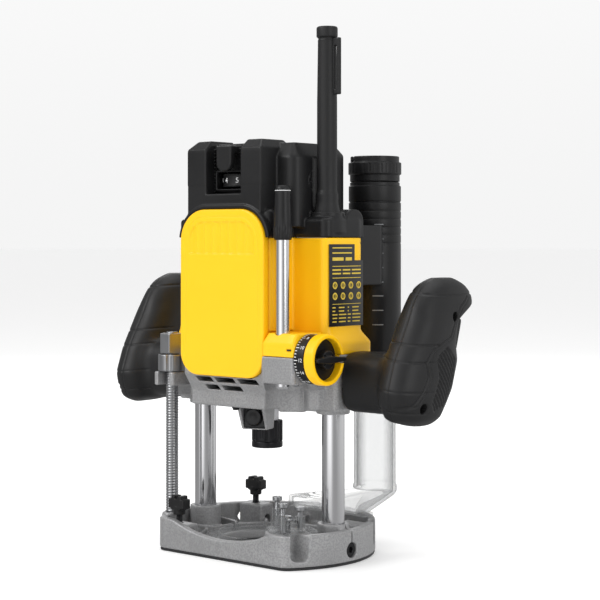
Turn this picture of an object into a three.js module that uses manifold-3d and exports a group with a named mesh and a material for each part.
// Plunge router: motor carriage sliding on two columns above a D-shaped base.
// Millimetres, +Z up. -Y is the front (flat edge of the base), +X is the user's right along
// the line of the columns. Every solid is drawn about the spindle axis and then moved back by
// AXIS_Y, so that the origin lies on the sole's underside in front of the cutter opening.
import * as THREE from "three";
import { mergeVertices } from "three/addons/utils/BufferGeometryUtils.js";
import { ConvexGeometry } from "three/addons/geometries/ConvexGeometry.js";
import Module from "manifold-3d";

const wasm = await Module();
wasm.setup();

// ---- driving dimensions -------------------------------------------------
// Places called "at" are [x, y] of an axis parallel to Z.
const AXIS_Y = 45; // spindle axis behind the origin
const SPINDLE = [0, 0];
const GAP = 0.25; // working gap between still parts

const BASE_RADIUS = 83;
const FLAT_Y = -54.5;
const SOLE_TOP = 2;
const FLOOR_TOP = 9;
const BASE_TOP = 25;
const BASE_WALL = 6;
const OPENING_RADIUS = 36;
const CHANNEL = { y: 44, z: 13.5, radius: 4.1 }; // guide-rod channels, front and rear

const COLUMN = { x: 65, radius: 8.5, bore: 6.1, bottom: 4.2, top: 171 };
const SET_SCREW = [0, 10.2]; // [y, z] of the column set screws, along X
const TURRET = { at: [51, -37], stopRadius: 10 };
const LIMITER = { at: [-67, -36], radius: 5 };
const ROD = { at: [55.2, -46.3], radius: 5.3, low: 130.5, neck: 256, top: 268 }; // depth rod
const KNOB = [-37.6, 152.6]; // [y, z] of the depth knob, along X
const PIPE = { at: [43, 80], radius: 20.6, bore: 18.2, low: 126, top: 284 };
const TUBE = { radius: 16.5, bore: 14.5 }; // chute tube, sliding inside the pipe
const CORD = [64, -6];
const DIAL = [0, -27];
const LOCK = [0, 136.5]; // [y, z] of the plunge-lock screw, along X
const NOSE_TURN = THREE.MathUtils.degToRad(18);

const CAST_LOW = 113;
const CAST_TOP = 154;
const HOUSE_LOW = CAST_TOP + GAP;
const HOUSE_TOP = 240;
const CAP_TOP = 313.5;
const CORE = { halfWidth: 43.5, front: -47, rear: 50 };
const WING = { x: 76, front: -21, rear: 25 };
const GRIP_X = 134;

// facets of a circle, and steps of a rounded corner
const ROUND = 14;
const SMALL = 10;
const HEX = 6;
const FINE_CORNER = 3;

const SIDES = [-1, 1];
const TAGGED_SIDES = [[-1, "left"], [1, "right"]];

// ---- materials ----------------------------------------------------------
const material = (settings) => new THREE.MeshStandardMaterial(settings);
const finish = {
  yellow: material({ color: 0xffc81e, roughness: 0.38 }),
  black: material({ color: 0x242425, roughness: 0.55 }),
  rubber: material({ color: 0x1b1b1c, roughness: 0.8 }),
  alloy: material({ color: 0xa6a7a9, roughness: 0.5, metalness: 0.7 }),
  chrome: material({ color: 0xd8d9dc, roughness: 0.12, metalness: 1 }),
  steel: material({ color: 0x9a9a9c, roughness: 0.35, metalness: 1 }),
  clear: material({ color: 0xe8eef0, roughness: 0.08, opacity: 0.35, transparent: true }),
  dark: material({ color: 0x131314, roughness: 0.5, metalness: 0.3 }),
  copper: material({ color: 0xb8703a, roughness: 0.4, metalness: 1 }),
  brass: material({ color: 0xc9a24a, roughness: 0.35, metalness: 1 }),
  carbon: material({ color: 0x333333, roughness: 0.9 }),
  laminations: material({ color: 0x6f7377, roughness: 0.55, metalness: 0.8 }),
  sole: material({ color: 0x1d1d1f, roughness: 0.6 }),
};

// ---- spans and places ---------------------------------------------------
const about = (centre, half) => [centre - half, centre + half];
const onSide = (side, near, far) => (side > 0 ? [near, far] : [-far, -near]);
const columnAt = (side) => [side * COLUMN.x, 0];
const polar = ([x, y], radius, angle) =>
  [x + radius * Math.cos(angle), y + radius * Math.sin(angle)];

// ---- solids -------------------------------------------------------------
function solid(geometry) {
  const source = geometry.index ? geometry.toNonIndexed() : geometry;
  const bare = new THREE.BufferGeometry();
  bare.setAttribute("position", source.getAttribute("position").clone());
  const welded = mergeVertices(bare, 1e-3);
  return new wasm.Manifold(new wasm.Mesh({
    numProp: 3,
    vertProperties: welded.attributes.position.array,
    triVerts: new Uint32Array(welded.index.array),
  }));
}

function geometryOf(body) {
  const mesh = body.getMesh();
  const points = new Float32Array(mesh.numVert * 3);
  for (let i = 0; i < mesh.numVert; i++) {
    const start = i * mesh.numProp;
    points.set(mesh.vertProperties.subarray(start, start + 3), i * 3);
  }
  const indexed = new THREE.BufferGeometry();
  indexed.setAttribute("position", new THREE.BufferAttribute(points, 3));
  indexed.setIndex(new THREE.BufferAttribute(new Uint32Array(mesh.triVerts), 1));
  const flat = indexed.toNonIndexed();
  flat.computeVertexNormals();
  return flat;
}

const union = (...parts) => parts.flat().reduce((whole, part) => whole.add(part));
const cut = (body, ...tools) => tools.flat().reduce((rest, tool) => rest.subtract(tool), body);

const box = ([x0, x1], [y0, y1], [z0, z1]) =>
  solid(new THREE.BoxGeometry(x1 - x0, y1 - y0, z1 - z0)
    .translate((x0 + x1) / 2, (y0 + y1) / 2, (z0 + z1) / 2));

// Cylinders along each axis; the first argument is the axis' place in the other two.
const cylX = ([y, z], radius, [x0, x1], facets = ROUND) =>
  solid(new THREE.CylinderGeometry(radius, radius, x1 - x0, facets)
    .rotateZ(-Math.PI / 2).translate((x0 + x1) / 2, y, z));
const cylY = ([x, z], radius, [y0, y1], facets = ROUND) =>
  solid(new THREE.CylinderGeometry(radius, radius, y1 - y0, facets)
    .translate(x, (y0 + y1) / 2, z));
const cylZ = ([x, y], radius, [z0, z1], facets = ROUND) =>
  solid(new THREE.CylinderGeometry(radius, radius, z1 - z0, facets)
    .rotateX(Math.PI / 2).translate(x, y, (z0 + z1) / 2));

const ring = (cylinder) => (at, radius, bore, [low, high], facets = ROUND) =>
  cut(cylinder(at, radius, [low, high], facets), cylinder(at, bore, [low - 1, high + 1], facets));
const ringX = ring(cylX);
const ringZ = ring(cylZ);

// Surface of revolution about Z. The profile holds [radius, height] pairs, anticlockwise with
// the radius to the right; one that starts off the axis is closed on itself.
function turned(profile, facets = ROUND, [x, y] = SPINDLE) {
  const outline = profile[0][0] > 0 ? [...profile, profile[0]] : profile;
  const points = outline.map(([radius, z]) => new THREE.Vector2(radius, z));
  return solid(new THREE.LatheGeometry(points, facets).rotateX(Math.PI / 2).translate(x, y, 0));
}

// Prisms along each axis, on outlines drawn in X-Y, X-Z and Y-Z.
const extruded = (shape, [low, high], curveSegments) =>
  new THREE.ExtrudeGeometry(shape, { depth: high - low, bevelEnabled: false, curveSegments });
const prism = (shape, span, steps = 2) =>
  solid(extruded(shape, span, steps).translate(0, 0, span[0]));
const prismY = (shape, span, steps = 2) =>
  solid(extruded(shape, span, steps).rotateX(Math.PI / 2).translate(0, span[1], 0));
const prismX = (shape, span, steps = 2) =>
  solid(extruded(shape, span, steps).applyMatrix4(
    new THREE.Matrix4().set(0, 0, 1, span[0], 1, 0, 0, 0, 0, 1, 0, 0, 0, 0, 0, 1)));

// Rectangle with rounded corners, given as one radius or as the four of
// x0y0, x1y0, x1y1 and x0y1.
function rounded([x0, x1], [y0, y1], corners) {
  const [a, b, c, d] = Array.isArray(corners) ? corners : Array(4).fill(corners);
  const shape = new THREE.Shape();
  shape.moveTo(x0 + a, y0);
  shape.lineTo(x1 - b, y0);
  if (b) shape.absarc(x1 - b, y0 + b, b, -Math.PI / 2, 0, false);
  shape.lineTo(x1, y1 - c);
  if (c) shape.absarc(x1 - c, y1 - c, c, 0, Math.PI / 2, false);
  shape.lineTo(x0 + d, y1);
  if (d) shape.absarc(x0 + d, y1 - d, d, Math.PI / 2, Math.PI, false);
  shape.lineTo(x0, y0 + a);
  if (a) shape.absarc(x0 + a, y0 + a, a, Math.PI, Math.PI * 1.5, false);
  return shape;
}

function polygon(points) {
  const shape = new THREE.Shape();
  points.forEach(([x, y], i) => (i ? shape.lineTo(x, y) : shape.moveTo(x, y)));
  shape.closePath();
  return shape;
}

// Skin through rings with equal numbers of points, closed by a fan at each end.
// The rings run anticlockwise about the direction of travel.
function loft(rings) {
  const positions = [];
  const triangle = (a, b, c) => positions.push(...a, ...b, ...c);
  const middle = (points) =>
    [0, 1, 2].map((c) => points.reduce((sum, point) => sum + point[c], 0) / points.length);
  const count = rings[0].length;
  const first = rings[0];
  const last = rings[rings.length - 1];
  for (let i = 0; i < count; i++) {
    const j = (i + 1) % count;
    for (let k = 0; k + 1 < rings.length; k++) {
      const here = rings[k];
      const next = rings[k + 1];
      triangle(here[i], here[j], next[j]);
      triangle(here[i], next[j], next[i]);
    }
    triangle(first[j], first[i], middle(first));
    triangle(last[i], last[j], middle(last));
  }
  const skin = new THREE.BufferGeometry();
  skin.setAttribute("position", new THREE.BufferAttribute(new Float32Array(positions), 3));
  return solid(skin);
}

function turnZ(body, angle, [x, y] = SPINDLE) {
  const geometry = geometryOf(body).translate(-x, -y, 0).rotateZ(angle).translate(x, y, 0);
  return solid(geometry);
}

// Reflects in the Y-Z plane, turning each triangle round so that it still faces out.
function mirrorX(body) {
  const geometry = geometryOf(body);
  const values = geometry.getAttribute("position").array;
  for (let i = 0; i < values.length; i += 9) {
    for (let c = i; c < i + 3; c++) [values[c], values[c + 3]] = [values[c + 3], values[c]];
  }
  for (let i = 0; i < values.length; i += 3) values[i] = -values[i];
  return solid(geometry);
}

// Smallest convex body round several solids.
function hull(...parts) {
  const points = [];
  for (const part of parts) {
    const position = geometryOf(part).getAttribute("position");
    for (let i = 0; i < position.count; i++) {
      points.push(new THREE.Vector3().fromBufferAttribute(position, i));
    }
  }
  return solid(new ConvexGeometry(points));
}

const router = new THREE.Group();
function put(name, body, surface) {
  const mesh = new THREE.Mesh(geometryOf(body).translate(0, AXIS_Y, 0), surface);
  mesh.name = name;
  router.add(mesh);
}

// ---- base ---------------------------------------------------------------
const PAST_BASE = [0, 60]; // height of tools that pass right through the base

// Circle cut off by a straight front edge.
function dPlan(radius, flatY) {
  const steps = 22;
  const start = Math.asin(flatY / radius);
  return polygon(Array.from({ length: steps + 1 }, (_, i) =>
    polar(SPINDLE, radius, start + ((Math.PI - 2 * start) * i) / steps)));
}
const basePlan = (inset = 0) => dPlan(BASE_RADIUS - inset, FLAT_Y + inset);

const CLAMP = { x: -51, y: 44.5 }; // guide-rod clamp screws
const CHANNEL_YS = [-CHANNEL.y, CHANNEL.y];

function baseCasting() {
  const boss = [FLOOR_TOP - 1, BASE_TOP];
  let body = cut(
    prism(basePlan(), [SOLE_TOP, BASE_TOP]),
    prism(basePlan(BASE_WALL), [FLOOR_TOP, BASE_TOP + 1]),
    // shallow scoop in the front wall, so the cutter can be seen
    cylY([0, 145], 130, [FLAT_Y - 5, FLAT_Y + 7], 44),
  );
  for (const side of SIDES) {
    body = body.add(cylZ(columnAt(side), 12, [FLOOR_TOP - 1, 28.5]));
    for (const y of CHANNEL_YS) {
      const top = side < 0 && y > 0 ? 26 : 21;
      body = body.add(box(onSide(side, 38, 62), about(y, 7.5), [FLOOR_TOP - 1, top]));
    }
  }
  body = body.add(cylZ(TURRET.at, 16, boss).intersect(prism(basePlan(1), PAST_BASE)));
  body = cut(
    body,
    cylZ(SPINDLE, OPENING_RADIUS, PAST_BASE),
    CHANNEL_YS.map((y) => cylX([y, CHANNEL.z], CHANNEL.radius, [-90, 90], SMALL)),
    // pockets where the guide rods leave the right side
    CHANNEL_YS.map((y) => box([61, 90], about(y, 6), [6, BASE_TOP + 1])),
  );
  for (const side of SIDES) {
    body = cut(
      body,
      cylZ(columnAt(side), COLUMN.radius + 0.1, [4, 40]),
      cylX(SET_SCREW, 2.8, onSide(side, COLUMN.x, 90), SMALL),
      cylX(SET_SCREW, 5.8, onSide(side, 78, 90)),
    );
  }
  // holes of the clamp screws and of the turret pivot
  body = cut(
    body,
    [-CLAMP.y, CLAMP.y].map((y) => cylZ([CLAMP.x, y], 3.2, [12, 40], SMALL)),
    cylZ(TURRET.at, 2.7, [15, 40], SMALL),
  );
  // The limiter boss comes after the channels because it fills part of the front one.
  const limiterBoss = cylZ(LIMITER.at, 8, [SOLE_TOP, 27], SMALL);
  body = body.add(limiterBoss.intersect(prism(basePlan(), PAST_BASE)));
  return cut(body, cylZ(LIMITER.at, LIMITER.radius + 0.1, [8, 60]));
}
put("base_casting", baseCasting(), finish.alloy);
put("sole_plate", cut(prism(basePlan(0.4), [0, SOLE_TOP]), cylZ(SPINDLE, 31, [-1, 5])), finish.sole);

// Hollow column with a small step round its top edge.
function column(side) {
  const { radius, bore, bottom, top } = COLUMN;
  return cut(
    cylZ(columnAt(side), radius, [bottom, top]),
    cylZ(columnAt(side), bore, [14, top + 1], SMALL),
    ringZ(columnAt(side), radius + 1, radius - 1, [top - 1.2, top + 1]),
  );
}

function columnSetScrew(side) {
  const head = cylX(SET_SCREW, 5.2, onSide(side, 78.2, 81.6), SMALL);
  const stem = cylX(SET_SCREW, 2.6, onSide(side, 73.8, 79), SMALL);
  return cut(head.add(stem), cylX(SET_SCREW, 2.6, onSide(side, 79.2, 90), HEX));
}
for (const [side, tag] of TAGGED_SIDES) {
  put(`column_${tag}`, column(side), finish.chrome);
  put(`column_set_screw_${tag}`, columnSetScrew(side), finish.dark);
}

// ---- height limiter: rod with release nut below and lock nut above ------
const limiterNutBore = () => cylZ(LIMITER.at, LIMITER.radius + 0.35, [130, 170]);

function limiterRod() {
  const { at, radius } = LIMITER;
  const profile = [[0, 8.3], [4.4, 8.3], [radius, 9], [radius, 166], [4.2, 167], [0, 167]];
  return turned(profile, ROUND, at);
}

function limiterLockNut() {
  const low = 150.5;
  const top = 166;
  const chamfered = turned(
    [[0, low], [9.2, low], [9.9, low + 0.7], [9.9, top - 1], [8.8, top], [0, top]],
    ROUND, LIMITER.at);
  return cut(cylZ(LIMITER.at, 9.8, [low, top], HEX).intersect(chamfered), limiterNutBore());
}

function limiterReleaseNut() {
  const scallops = Array.from({ length: 6 }, (_, i) =>
    cylZ(polar(LIMITER.at, 12.6, (i * Math.PI) / 3), 3, [130, 170], SMALL));
  return cut(cylZ(LIMITER.at, 11, [136.6, 149.6]), limiterNutBore(), scallops);
}
put("limiter_rod", limiterRod(), finish.steel);
put("limiter_lock_nut", limiterLockNut(), finish.steel);
put("limiter_release_nut", limiterReleaseNut(), finish.steel);

// Guide-rod clamp screw with a notched thumb piece; lift raises all but the stem's foot.
function rodClampScrew(y, lift) {
  const { x } = CLAMP;
  const body = union(
    cylZ([x, y], 2.6, [18, 34 + lift], SMALL),
    cylZ([x, y], 4.6, [27.4 + lift, 33 + lift], SMALL),
    box(about(x, 8), about(y, 4.2), [32 + lift, 39.5 + lift]),
    box(about(x, 5.2), about(y, 4.2), [31 + lift, 42 + lift]),
  );
  return cut(body, box(about(x, 1.6), about(y, 6), [40 + lift, 50 + lift]));
}
put("rod_clamp_screw_front", rodClampScrew(-CLAMP.y, 0), finish.black);
put("rod_clamp_screw_rear", rodClampScrew(CLAMP.y, 5), finish.black);

// ---- depth turret: clear body with three stop screws round a pivot ------
const TURRET_LOW = BASE_TOP + 0.4;
// The first stop lies towards the depth rod.
const firstStop = Math.atan2(ROD.at[1] - TURRET.at[1], ROD.at[0] - TURRET.at[0]);
const stops = [ // tops of the post and of its screw head
  { postTop: 39, headTop: 47.2 },
  { postTop: 41, headTop: 49.8 },
  { postTop: 36, headTop: 43 },
].map((stop, i) => {
  const at = polar(TURRET.at, TURRET.stopRadius, firstStop - (i * 2 * Math.PI) / 3);
  return { ...stop, at };
});

function turretBody() {
  const body = union(
    cylZ(TURRET.at, 15, [TURRET_LOW, BASE_TOP + 3]),
    cylZ(TURRET.at, 5.6, [TURRET_LOW, 33], SMALL),
    stops.map(({ at, postTop }) => cylZ(at, 4, [TURRET_LOW, postTop], SMALL)),
  );
  return cut(
    body,
    stops.map(({ at }) => cylZ(at, 2.2, [20, 60], SMALL)),
    cylZ(TURRET.at, 2.8, [20, 60], SMALL),
  );
}

function stopScrew({ at, headTop }) {
  const stem = cylZ(at, 2, [BASE_TOP + 0.6, headTop - 2], SMALL);
  const head = cylZ(at, 3.6, [headTop - 3, headTop], SMALL);
  const slot = box(about(at[0], 5), about(at[1], 0.5), about(headTop, 1));
  return cut(stem.add(head), slot);
}
const PIVOT_PROFILE = [ // radius, height
  [0, 15.4], [2.5, 15.4], [2.5, 33.3], [5.2, 33.3], [5.2, 35], [3.6, 36.6], [0, 36.6],
];
put("turret_body", turretBody(), finish.clear);
stops.forEach((stop, i) => put(`turret_stop_screw_${i + 1}`, stopScrew(stop), finish.steel));
put("turret_pivot_screw", turned(PIVOT_PROFILE, SMALL, TURRET.at), finish.steel);

// ---- clear guards -------------------------------------------------------
// Hood over the back of the base, and a tube that telescopes inside the pipe on the motor.
function dustChute() {
  const outer = hull(
    cylZ(PIPE.at, TUBE.radius, [38, 42]),
    box([-14, 62], [41, 45], [27.5, 37.5]),
    box([10, 62], [36.5, 42], [27.5, 36]),
  );
  const inner = hull(
    cylZ(PIPE.at, TUBE.bore, [40, 44]),
    box([-12, 60], [43, 43.5], [29.5, 35.7]),
    box([11, 60], [30, 43], [29.5, 34.2]),
  );
  const body = cut(
    outer.add(cylZ(PIPE.at, TUBE.radius, [41, 150])),
    cylZ(PIPE.at, TUBE.bore, [40, 160]),
    inner,
  );
  const foot = box([52, 60], [44, 56], [BASE_TOP + 0.3, 29]);
  return body.add(foot.intersect(prism(dPlan(BASE_RADIUS - 0.5, FLAT_Y), PAST_BASE)));
}

// Low ring round the cutter opening, cleared for the base pads and the turret.
function chipShroud() {
  const low = FLOOR_TOP + 0.2;
  const top = FLOOR_TOP + 2;
  const profile = [[37, low], [49, low], [49, top], [40, top], [38.6, 14.6], [37, 14.6]];
  const height = [0, 40];
  const pads = SIDES.flatMap((side) =>
    CHANNEL_YS.map((y) => box(onSide(side, 30, 70), about(y, 8), height)));
  return cut(
    turned(profile).intersect(prism(dPlan(60, FLAT_Y + 7), height)),
    pads,
    cylZ(TURRET.at, 17, height),
  );
}
put("dust_chute", dustChute(), finish.clear);
put("chip_shroud", chipShroud(), finish.clear);

// ---- outlines shared by casting, housing, cap and pipe ------------------
const corePlan = (inset = 0) => rounded(
  about(0, CORE.halfWidth - inset), [CORE.front + inset, CORE.rear - inset],
  [6, 6, 22, 22].map((radius) => Math.max(1, radius - inset)));

// Plan on one side of the machine, with only its outer corners rounded.
const sidePlan = (side, [near, far], depth, front, rear) =>
  rounded(onSide(side, near, far), depth, side > 0 ? [0, front, rear, 0] : [front, 0, 0, rear]);

const FOOT_FRONT = -19.2;
const footPlan = (side) => sidePlan(side, [30, 80], [FOOT_FRONT, 30], 4, 6);
const wingPlan = (side, inset = 0) => sidePlan(
  side, [30, WING.x - inset], [WING.front + inset, WING.rear - inset], 7 - inset, 9 - inset);

const coreAndWings = (low, coreTop, wingTop) => union(
  prism(corePlan(), [low, coreTop]),
  SIDES.map((side) => prism(wingPlan(side), [low, wingTop])));

// Outline of the front cover in X-Z, and the recess it needs in the parts behind it.
const coverOutline = (grow = 0) => rounded(
  about(0, 42 + grow), [136.8 - grow, 261.5 + grow],
  [17 + grow, 17 + grow, 24 + grow, 24 + grow]);
const coverRecess = () => prismY(coverOutline(0.3), [-60, -46], FINE_CORNER);

// Bores for the depth rod, its pinion and the pinion shaft, split between casting and bracket.
const depthStopBores = () => [
  cylZ(ROD.at, ROD.radius + 0.3, [120, 190]),
  cylX(KNOB, 7.9, [49, 60]),
  cylX(KNOB, 4.5, [44, 80], SMALL),
];

// ---- carriage casting ---------------------------------------------------
// Chin under the front cover: a vertical band, then a face that leans out to meet the cover.
const CHIN = [ // y, z
  [-30, 113], [-40.5, 113], [-41.5, 114], [-41.5, 124.5],
  [-50, 137], [-50, CAST_TOP], [-30, CAST_TOP],
];

function carriageBody() {
  return union(
    prism(rounded([-43, 43], [-42, 44], [10, 10, 20, 20]), [124, CAST_TOP]),
    prismX(polygon(CHIN), [-41, 41]),
    cylZ(SPINDLE, 28, [CAST_LOW, 126]),
    box([-41, 41], [-34, 10], [120, 126]),
    SIDES.flatMap((side) => [
      prism(rounded(onSide(side, 51, 80), [-15, 15], 3), [CAST_LOW, CAST_TOP]),
      cylZ(columnAt(side), 12.4, [109.5, CAST_LOW + 1]),
      box(onSide(side, 24, 52), [-11, 11], [116, CAST_TOP]),
      // flange that carries the wings of the housing
      prism(footPlan(side), [148, CAST_TOP]),
    ]),
    // seat of the depth stop
    prism(rounded([41, 72.5], [-55, -20], 2), [134.5, CAST_TOP]),
    hull(box([45, 70], [-24, -12], [130.8, 134.6]), box([41, 72], [-36, -20], [134.5, 135])),
    // limiter fork
    prism(rounded([-77.5, -56.5], [-46, -12], 2), [125.8, 136.2]),
    box([-74, -56.5], [-24, -12], [116, 140]),
    // spindle-lock box on the nose
    turnZ(hull(
      box([-10.5, 10.5], [-24.8, -11], [95.2, 117]),
      box([-12, 12], [-36, -10], [122, 124]),
    ), NOSE_TURN),
  );
}

// Slot through the leaning face; its lower edge sits 1 mm further right.
const exhaustSlot = ([left, right, z]) => hull(
  box([left + 1, right + 1], [-60, -20], [z, z + 0.1]),
  box([left, right], [-60, -20], [z + 3.4, z + 3.5]));
const EXHAUST_SLOTS = [ // left x, right x, bottom z
  [-30, -14, 132], [-10.5, 8.5, 132], [12, 31, 132],
  [-24, -10.5, 126], [-7, 12, 126],
];

function carriageCasting() {
  const [limiterX, limiterY] = LIMITER.at;
  return cut(
    carriageBody(),
    cylZ(TURRET.at, 16.4, [90, 134.4]), // the turret passes beside the chin at full plunge
    cylZ(SPINDLE, 39.5, [134, 170]), // fan chamber
    cylZ(SPINDLE, 20.1, [118, 140]), // bearing seat
    cylZ(SPINDLE, 14, [90, 130]), // spindle passage
    turnZ(box([-14, 14], [-11.5, 12], [90, CAST_LOW - 0.1]), NOSE_TURN),
    SIDES.map((side) => cylZ(columnAt(side), 11.1, [100, 170])),
    EXHAUST_SLOTS.map(exhaustSlot),
    coverRecess(),
    depthStopBores(),
    // limiter slot, open to the front
    box(about(limiterX, 5.9), [-60, limiterY], [100, 150]),
    cylZ(LIMITER.at, 5.9, [100, 150], SMALL),
    // button pocket and spindle-lock bore
    turnZ(union(
      box([-8.7, 8.7], [-30, -20.5], [96.3, 113.7]),
      box([-3.2, 3.2], [-30, -8], [100.7, 107.1]),
    ), NOSE_TURN),
    // plunge-lock screw bore, from the left end to the column
    cylX(LOCK, 5.7, [-90, -70], SMALL),
  );
}
put("carriage_casting", carriageCasting(), finish.alloy);

for (const [side, tag] of TAGGED_SIDES) {
  const bush = ringZ(columnAt(side), 10.85, COLUMN.radius + 0.06, [110, 167]);
  // the lock screw bears on the left column through its bush
  const holes = side < 0 ? [cylX(LOCK, 5.5, [-80, -70], SMALL)] : [];
  put(`guide_bush_${tag}`, cut(bush, holes), finish.brass);
}

// ---- motor housing, cover and cap ---------------------------------------
// Foot of a wing, flaring out to the casting.
const wingFoot = (side) => hull(
  prism(footPlan(side), [HOUSE_LOW, 163]),
  prism(wingPlan(side), [170, 171]).intersect(box([-90, 90], [FOOT_FRONT, 60], [100, 200])));

function motorHousing() {
  return cut(
    union(coreAndWings(HOUSE_LOW, HOUSE_TOP, HOUSE_TOP), SIDES.map(wingFoot)),
    prism(corePlan(3), [150, 250]),
    SIDES.flatMap((side) => [
      box(onSide(side, 35, 53), [-19, 22], [165, 250]),
      cylZ(columnAt(side), 11.3, [150, 167.5]),
      cylZ(columnAt(side), 9.5, [150, 250]),
      box(onSide(side, 30, 60), [-9, 9], [150, 250]),
    ]),
    // room for the depth-stop bracket
    box([41, 74], [-56, WING.front - 0.3], [150, 171.5]),
    cylX(KNOB, 18.5, [72, 90]),
    coverRecess(),
  );
}

function frontCover() {
  const field = rounded([-33, 33], [226, 252], [2, 2, 14, 14]); // sunk into the front face
  return cut(
    prismY(coverOutline(), [-53, -46.3], FINE_CORNER),
    prismY(field, [-54, -52], FINE_CORNER),
  );
}

const rearCorners = (radius, inset) => [0, 0, radius - inset, radius - inset];
const upperPlan = (inset = 0) =>
  rounded(about(0, 37 - inset), [-50 + inset, 46 - inset], rearCorners(8, inset));
const backPlan = (inset = 0) =>
  rounded(about(0, 40 - inset), [-14, 50 - inset], rearCorners(9, inset));
const brushBoxPlan = (side, inset = 0) =>
  sidePlan(side, [30, 55 - inset], [-32 + inset, 14 - inset], 9 - inset, 9 - inset);

const DIAL_TOWERS = [ // x span at the foot and at the top
  [[-37, -18], [-32, -19]],
  [[17, 37], [18, 32]],
];

function capOutside() {
  const crown = [310, 311];
  const shoulder = rounded([2.5, 24.5], [245, 261.5], [0, 0, 9, 9]);
  return union(
    coreAndWings(HOUSE_TOP + GAP, 262, 255),
    SIDES.map((side) => prismX(shoulder, onSide(side, 36, WING.x - 1))),
    hull(prism(upperPlan(), [258, 305.5]), prism(upperPlan(6), crown)),
    hull(prism(backPlan(), [258, 304]), prism(backPlan(6), crown)),
    // towers either side of the dial
    DIAL_TOWERS.map(([foot, top]) => hull(
      box(foot, [-50, -14], [280, 307]),
      box(top, [-43, -18], [CAP_TOP - 1, CAP_TOP]))),
    // rounded boxes over the brushes, one on each flank
    SIDES.map((side) => hull(
      prism(brushBoxPlan(side), [250, 300]),
      prism(brushBoxPlan(side, 7), crown))),
  );
}

function topCap() {
  const hollow = cut(
    capOutside(),
    prism(upperPlan(3.2), [255, 304]),
    prism(corePlan(3), [230, 258]),
    SIDES.flatMap((side) => [
      box(onSide(side, 33, 50), [-26, 10], [242, 298]),
      cylZ(columnAt(side), 8.9, [230, 252]),
      box(onSide(side, 40, 60), [-8, 8], [230, 251]),
    ]),
    box([-18, 17], [-52, -38], [273, 320]), // recess for the speed dial
  );
  const recessDepth = [-49.9, -36];
  const lined = union(
    hollow,
    box([-21, 20], [-38.2, -35.5], [262, 312]),
    box([-21, -17.8], recessDepth, [270, 305]),
    box([16.8, 20], recessDepth, [270, 305]),
    box([-19, 18], recessDepth, [270, 273]),
    // tongue hanging in front of the dial
    prismY(rounded([-7.4, 7.4], [290, 309], [6.5, 6.5, 0, 0]), [-50, -45], FINE_CORNER),
    box([-7.4, 7.4], [-46, -37], [303, 309]),
  );
  return cut(
    lined,
    box([-14.4, 14.4], [-40, -30], [277, 289.5]), // dial window
    coverRecess(),
    // cooling air enters at the back
    [270, 278, 286].map((z) => box([-24, 24], [40, 60], [z, z + 3])),
    // socket of the cord protector
    cylZ(CORD, 6.4, [253, 270], SMALL),
    cylZ(CORD, 10.8, [255, 270]),
  );
}
put("motor_housing", motorHousing(), finish.yellow);
put("front_cover", frontCover(), finish.yellow);
put("top_cap", topCap(), finish.black);

// ---- depth stop ---------------------------------------------------------
// Bracket in front of the right wing, carrying the knob.
function depthBracket() {
  const rear = WING.front - 0.7;
  const block = hull(
    prism(rounded([42.3, 72.5], [-55, rear], 2), [HOUSE_LOW, 165]),
    prism(rounded([45, 72.5], [-52, rear], 2), [168, 171]),
  );
  const boss = hull(cylX(KNOB, 18, [66, 72.2]), cylX(KNOB, 14, [58, 60]))
    .intersect(box([50, 80], [-60, rear], [HOUSE_LOW, 200]));
  return cut(block.add(boss), depthStopBores());
}

const TEETH = 12;
const PITCH_RADIUS = TEETH / 2; // of a pinion of module 1
const TOOTH_PITCH = Math.PI;

// Rod with a rack down its back, turned down at the top to fit the handle.
function depthRod() {
  const { at, radius, low, neck, top } = ROD;
  const [x] = at;
  const [knobY, knobZ] = KNOB;
  const tipY = knobY - PITCH_RADIUS + 0.8;
  const rootY = tipY - 1.9;
  const blank = turned(
    [[0, low], [radius - 1, low], [radius, low + 1], [radius, top], [0, top]], ROUND, at);
  const gaps = Array.from({ length: 31 }, (_, i) => {
    const z = knobZ + (i - 7) * TOOTH_PITCH; // one gap is centred at the height of the pinion
    return hull(
      box(about(x, 6), [rootY, rootY + 0.01], about(z, 0.62)),
      box(about(x, 6), [tipY + 0.5, tipY + 0.51], about(z, 1.55)),
    );
  });
  return cut(
    blank,
    box(about(x, 8), [tipY, tipY + 8], [low - 1, 232]),
    union(gaps),
    cut(cylZ(at, 9, [neck - 0.1, 280]), cylZ(at, 4.3, [250, 285], SMALL)),
  );
}

function depthPinionShaft() {
  const tip = PITCH_RADIUS + 0.75;
  const root = PITCH_RADIUS - 1.1;
  const corners = [[-0.2, root], [-0.05, tip], [0.05, tip], [0.2, root]]; // angle, radius
  const outline = Array.from({ length: TEETH }, (_, i) => {
    const centre = Math.PI + (i * 2 * Math.PI) / TEETH; // the first tooth points along -Y
    return corners.map(([angle, radius]) => polar(KNOB, radius, centre + angle));
  }).flat();
  return prismX(polygon(outline), [50, 59]).add(cylX(KNOB, 4, [46, 88], SMALL));
}

const ROD_HANDLE_PROFILE = [ // radius, height
  [0, 238.5], [5.6, 238.5], [6.6, 239.5], [6.9, 246], [6.2, 256], [5, 268],
  [4.6, 276], [3.6, 278.5], [0, 278.5],
];
function depthRodHandle() {
  return cut(
    turned(ROD_HANDLE_PROFILE, SMALL, ROD.at),
    cylZ(ROD.at, ROD.radius + 0.05, [230, ROD.neck]),
    cylZ(ROD.at, 4.45, [ROD.neck - 1, ROD.top + 0.2], SMALL),
  );
}

function depthKnobRing() {
  const [y, z] = KNOB;
  return cut(
    ringX(KNOB, 18.6, 15.4, [82.4, 91]).add(cylX(KNOB, 16, [82.4, 84.4])),
    cylX(KNOB, 4.2, [80, 100], SMALL),
    box([86.6, 92], [y, y + 30], about(z, 2.9)), // notch for the bar
  );
}

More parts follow.
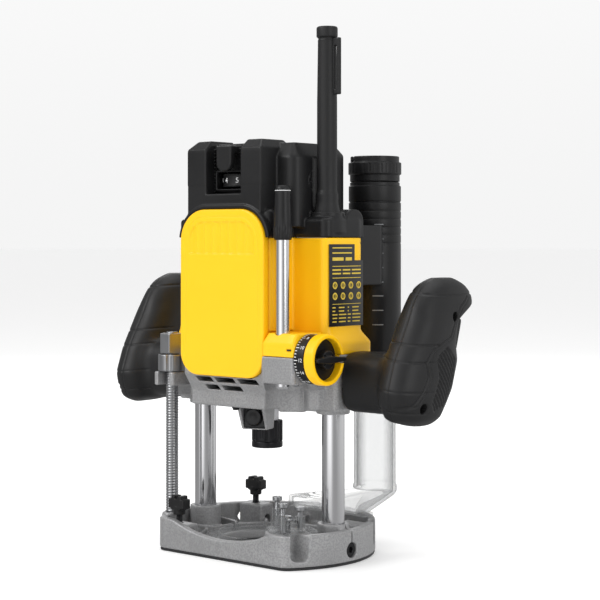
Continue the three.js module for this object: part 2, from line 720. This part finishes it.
function depthKnobBar() {
  const [y, z] = KNOB;
  return cut(
    box([86.8, 93], [y - 15, y + 18.4], about(z, 2.7)).add(cylX(KNOB, 7, [84.6, 92], SMALL)),
    cylX(KNOB, 4.15, [80, 88.2], SMALL),
  );
}
put("depth_bracket", depthBracket(), finish.yellow);
put("depth_rod", depthRod(), finish.chrome);
put("depth_pinion_shaft", depthPinionShaft(), finish.steel);
put("depth_rod_handle", depthRodHandle(), finish.black);
put("scale_ring", ringX(KNOB, 18, 4.4, [72.9, 82]), finish.black);
put("depth_knob_ring", depthKnobRing(), finish.yellow);
put("depth_knob_bar", depthKnobBar(), finish.black);

// ---- motor --------------------------------------------------------------
const CORE_STACK = [168, 220]; // height of the laminated cores
const ON_SHAFT = 6.4; // bore radius of the parts round the spindle shaft

const stator = () => cut(
  union(
    prism(rounded([-38, 38], [-40, 40], 12), CORE_STACK, FINE_CORNER),
    cylZ(SPINDLE, 36, [157, 231])),
  cylZ(SPINDLE, 27.6, [150, 240]));

const SHAFT_PROFILE = [ // radius, height; the cone at the lower end takes the collet
  [6.9, 84], [8.9, 84], [8.9, 116], [8.5, 116.5], [8.5, 131], [9.5, 131], [9.5, 134],
  [6, 135], [6, 262], [4, 262.5], [4, 279], [0, 279], [0, 112], [5, 112],
];

const coolingFan = () => union(
  ringZ(SPINDLE, 13, 6.5, [136.5, 151], SMALL),
  ringZ(SPINDLE, 37, 12.5, [136.5, 138]),
  Array.from({ length: 8 }, (_, i) =>
    turnZ(box([12, 36], [-0.9, 0.9], [137.5, 150]), (i * Math.PI) / 4 + 0.2)));

const brushHolder = (side) => cut(
  box(onSide(side, 20, 38), [-6.5, 6.5], [243.5, 257.5]),
  box(onSide(side, 15, 33), [-4.3, 4.3], [245.7, 255.3]));

const COLLET_PROFILE = [ // radius, height
  [4.05, 80.4], [8.4, 80.4], [8.4, 83.6], [6.5, 83.8], [4.9, 110], [4.05, 110],
];
const COLLET_NUT_PROFILE = [ // radius, height
  [9.3, 84.2], [8.8, 83.8], [8.8, 79.5], [11, 79.5],
  [11.9, 81], [11.9, 99.8], [11.6, 100.4], [9.3, 100.4],
];
const colletNut = () => cut(
  turned(COLLET_NUT_PROFILE),
  Array.from({ length: 6 }, (_, i) =>
    turnZ(box([-2, 2], [-14, -10.9], [84, 110]), (i * Math.PI) / 3 + 0.2)));

const speedDial = () => cut(
  cylZ(DIAL, 16, [278.2, 288.4]),
  cylZ(DIAL, 3.2, [270, 300], SMALL));

// Box with an arm reaching forward to the pin of the dial.
const electronicsModule = () => union(
  box([-26, 26], [-8, 30], [280.5, 298]),
  cylZ(DIAL, 2.6, [276.5, 297], SMALL),
  box([-4, 4], [-28, -6], [290, 297]));

const spindleLockButton = () => turnZ(union(
  box([-8.2, 8.2], [-25.6, -24.2], [96.8, 113.2]),
  cylY([0, 105], 6.5, [-28, -24], 24),
  box([-2.8, 2.8], [-25, -12.9], [101.6, 106.7])), NOSE_TURN);

put("lower_bearing", ringZ(SPINDLE, 19.6, 9, [118.2, 130]), finish.steel);
put("upper_bearing", ringZ(SPINDLE, 11, 4.4, [268, 275], SMALL), finish.steel);
put("stator", stator(), finish.laminations);
put("spindle_shaft", turned(SHAFT_PROFILE), finish.steel);
put("rotor_core", ringZ(SPINDLE, 26.5, ON_SHAFT, CORE_STACK), finish.laminations);
put("commutator", ringZ(SPINDLE, 16, ON_SHAFT, [240, 260]), finish.copper);
put("cooling_fan", coolingFan(), finish.black);
for (const [side, tag] of TAGGED_SIDES) {
  put(`carbon_brush_${tag}`, box(onSide(side, 16.3, 31), [-4, 4], [246, 255]), finish.carbon);
  put(`brush_holder_${tag}`, brushHolder(side), finish.brass);
}
put("collet", turned(COLLET_PROFILE), finish.steel);
put("collet_nut", colletNut(), finish.dark);
put("speed_dial", speedDial(), finish.black);
put("electronics_module", electronicsModule(), finish.dark);
put("spindle_lock_button", spindleLockButton(), finish.black);

// ---- plunge springs, inside the columns ---------------------------------
const SPRING = { radius: 4.9, wire: 0.7, low: 15, top: 250, turns: 11, stepsPerTurn: 6 };

class Coil extends THREE.Curve {
  constructor(x) {
    super();
    this.x = x;
  }
  getPoint(t, out = new THREE.Vector3()) {
    const { radius, low, top, turns } = SPRING;
    const [x, y] = polar([this.x, 0], radius, t * turns * Math.PI * 2);
    return out.set(x, y, low + (top - low) * t);
  }
}

// Wire of square section swept along the coil.
function returnSpring(side) {
  const x = side * COLUMN.x;
  const path = new Coil(x);
  const steps = SPRING.turns * SPRING.stepsPerTurn;
  return loft(Array.from({ length: steps + 1 }, (_, i) => {
    const centre = path.getPoint(i / steps);
    const outward = new THREE.Vector3(centre.x - x, centre.y, 0).normalize();
    const up = new THREE.Vector3().crossVectors(path.getTangent(i / steps), outward).normalize();
    return [0, 1, 2, 3].map((corner) => {
      const angle = (corner * Math.PI) / 2 + Math.PI / 4;
      return centre.clone()
        .addScaledVector(outward, SPRING.wire * Math.cos(angle))
        .addScaledVector(up, SPRING.wire * Math.sin(angle))
        .toArray();
    });
  }));
}
for (const [side, tag] of TAGGED_SIDES) {
  put(`return_spring_${tag}`, returnSpring(side), finish.steel);
}

// ---- handles, drawn on the right ----------------------------------------
const HANDLE_WALL = 3;
const GRIP_STATIONS = [ // z, centre y, half depth in Y, half width in X
  [104, 7.5, 10, 7], [110, 5, 24, 15], [121, 6, 30, 17.8], [131, 8.5, 34.5, 18.8],
  [151, 15.5, 34, 19], [162, 17.5, 29.5, 18.6], [180, 24, 25.5, 18],
  [191, 37.5, 33.5, 17.2], [199, 39.5, 30, 15.6], [206, 40, 23, 12], [211, 40, 11, 6],
];
const armStations = (startX) => [ // x, centre y, half depth in Y, half height in Z
  [startX, 6, 16.5, 21.4], [85, 6.5, 18, 22.2], [122, 10, 24, 22.6],
];
const ARM_CENTRE_Z = 134.2;

// Twelve points round a squarish oval; place turns unit coordinates into a point.
function oval(exponent, place) {
  const bulge = (value) => Math.sign(value) * Math.abs(value) ** exponent;
  return Array.from({ length: 12 }, (_, i) => {
    const angle = (i / 12) * 2 * Math.PI;
    return place(bulge(Math.cos(angle)), bulge(Math.sin(angle)));
  });
}

const gripSkin = (stations, inset) =>
  loft(stations.map(([z, centreY, halfDepth, halfWidth]) => oval(0.86, (u, v) =>
    [GRIP_X + (halfWidth - inset) * u, centreY + (halfDepth - inset) * v, z])));

const armSkin = (startX, inset) =>
  loft(armStations(startX).map(([x, centreY, halfDepth, halfHeight]) => oval(0.66, (u, v) =>
    [x, centreY + (halfDepth - inset) * u, ARM_CENTRE_Z + (halfHeight - inset) * v])));

// Inner and outer halves of a handle, each with its screw towers.
function handleHalves() {
  const shell = cut(
    gripSkin(GRIP_STATIONS, 0).add(armSkin(80.8, 0)),
    gripSkin(GRIP_STATIONS.slice(1, -1), HANDLE_WALL).add(armSkin(78, HANDLE_WALL)),
  );
  const innerFace = GRIP_X - 0.15;
  const outerFace = GRIP_X + 0.15;
  let inner = shell.intersect(box([60, innerFace], [-90, 120], [60, 260]));
  let outer = shell.intersect(box([outerFace, 180], [-90, 120], [60, 260]));
  for (const at of [[-4, 119], [34, 183]]) { // y, z
    inner = inner.add(cut(
      cylX(at, 4.2, [GRIP_X - 16.5, innerFace], 8),
      cylX(at, 1.6, [GRIP_X - 11, GRIP_X + 1], 8),
    ));
    outer = cut(
      outer.add(cylX(at, 5.4, [outerFace, GRIP_X + 14.5], 8)),
      cylX(at, 1.6, [GRIP_X - 1, GRIP_X + 10], 8),
      cylX(at, 3.4, [GRIP_X + 6, GRIP_X + 30], SMALL),
    );
  }
  return { inner, outer };
}

function trigger() {
  const width = [126.8, 141.2];
  return hull(
    box(width, [44.5, 50.5], [158, 160]),
    box(width, [46, 53.5], [169, 171]),
    box(width, [50, 57], [178.6, 180.5]),
  ).add(box([130, 138], [34, 48], [162, 174]));
}

const LOCK_BUTTON = [22, 170]; // y, z
const triggerOpening = box([126.4, 141.6], [36, 60], [157, 181]);
const lockButtonHole = cylX(LOCK_BUTTON, 5, [100, 130], SMALL);
const { inner, outer } = handleHalves();
put("trigger", trigger(), finish.black);
put("switch_module", box([126.5, 141.5], [4, 29.5], [156, 180]), finish.dark);
put("lock_on_button", cylX(LOCK_BUTTON, 4.6, [114.5, 123], SMALL), finish.black);
put("right_handle_inner", cut(inner, triggerOpening, lockButtonHole), finish.rubber);
put("right_handle_outer", cut(outer, triggerOpening), finish.rubber);
put("left_handle_inner", mirrorX(inner), finish.rubber);
put("left_handle_outer", mirrorX(outer), finish.rubber);

const plungeLockScrew = union(
  cylX(LOCK, 5.15, [-97, -73.8], SMALL),
  cylX(LOCK, 7.8, [-97, -89], HEX));
put("plunge_lock_screw", plungeLockScrew, finish.steel);

// ---- cord and dust extraction -------------------------------------------
const CORD_PROFILE = [ // radius, height
  [0, 255.2], [10.4, 255.2], [9.2, 262], [8.4, 266], [8.4, 273], [7.5, 276], [7.5, 340],
  [6.8, 386], [6.8, 388], [7.9, 389], [7.9, 396], [7.3, 396.7], [0, 396.7],
];
function cordProtector() {
  const [x, y] = CORD;
  const loop = cut( // flat loop on the right of the sleeve
    box([x + 5.5, x + 12.5], about(y, 1.6), [346, 388]),
    box([x + 7.6, x + 9.8], about(y, 5), [350, 382]),
  );
  return cut(
    union(turned(CORD_PROFILE, ROUND, CORD), cylZ(CORD, 6.1, [253.2, 256], SMALL), loop),
    cylZ(CORD, 4.5, [240, 400], SMALL),
  );
}

function dustPipe() {
  const height = [100, 300];
  return cut(
    union(
      cylZ(PIPE.at, PIPE.radius, [PIPE.low, PIPE.top]),
      // saddle that joins the pipe to the back of the housing
      hull(box([58, 63], [26, 62], [204, 250]), box([58, 61], [26, 66], [204, 250])),
      box([20, 61], [CORE.rear + 0.5, 66], [210, 246]),
    ),
    cylZ(PIPE.at, PIPE.bore, height),
    prism(corePlan(-0.4), height),
    prism(wingPlan(1, -0.4), height),
  );
}

const COLLAR_PROFILE = [ // radius, height
  [17.4, 284.4], [19.6, 284.4], [19.6, 290], [20.9, 290.4],
  [20.9, 299], [19.2, 299.6], [19.2, 304.4], [17.4, 304.4],
];
function hoseCollar() {
  const [x, y] = PIPE.at;
  const notch = box(about(x, 1.4), [y - 24, y - 10], [299.8, 310]);
  return cut(
    turned(COLLAR_PROFILE, ROUND, PIPE.at),
    [0, Math.PI].map((angle) => turnZ(notch, angle - 0.5, PIPE.at)),
  );
}
put("cord_protector", cordProtector(), finish.rubber);
put("dust_pipe", dustPipe(), finish.black);
put("hose_collar", hoseCollar(), finish.black);

export default router;
